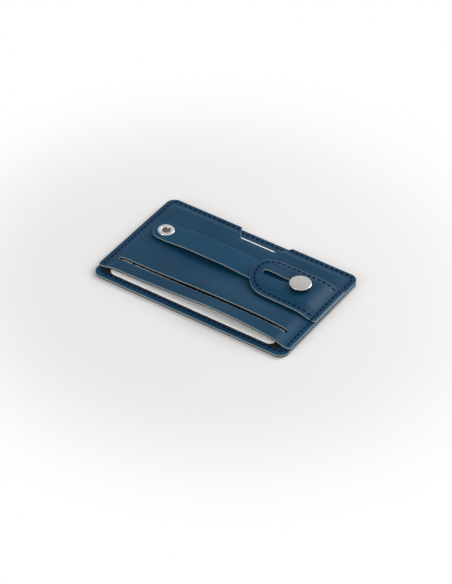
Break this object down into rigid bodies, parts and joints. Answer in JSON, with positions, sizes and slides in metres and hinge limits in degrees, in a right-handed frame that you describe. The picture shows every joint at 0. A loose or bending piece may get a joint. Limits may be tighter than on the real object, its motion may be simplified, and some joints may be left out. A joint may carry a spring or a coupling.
{
  "type": "phone card holder",
  "caption": "Stick-on card pocket in stitched navy imitation leather, with a finger strap whose stud slides in a slotted tab to form a loop.",
  "frame": {"origin": "centre of the adhesive face, at the bottom of the holder", "axes": "+X along the strap from the eyelet to the tab, +Y from the open mouth to the thumb notch, +Z out of the adhesive face"},
  "size_m": [0.1, 0.0636, 0.0091],
  "materials": {
    "navy_leather": "smooth imitation leather with a soft satin sheen",
    "navy_thread": "twisted polyester sewing thread",
    "black_lining": "fine matt woven lining",
    "white_card": "smooth blank card",
    "satin_nickel": "satin nickel plate",
    "bright_nickel": "bright nickel plate",
    "adhesive_foam": "matt grey adhesive pad"
  },
  "bodies": {
    "root": {"adhesive_pad": "adhesive_foam", "back_panel": "navy_leather", "card": "white_card", "divider_lining": "black_lining", "front_panel": "navy_leather", "eyelet_washer": "satin_nickel", "strap": "navy_leather", "eyelet": "bright_nickel", "slot_tab": "navy_leather", "perimeter_thread": "navy_thread", "tab_thread": "navy_thread"},
    "stud": {"stud_base": "satin_nickel", "stud_cap": "satin_nickel"}
  },
  "joints": [
    {"name": "stud_slide", "type": "slide", "parent": "root", "child": "stud", "axis": [-1, 0, 0], "range_m": [0, 0.0177], "deforming": ["strap"]}
  ]
}
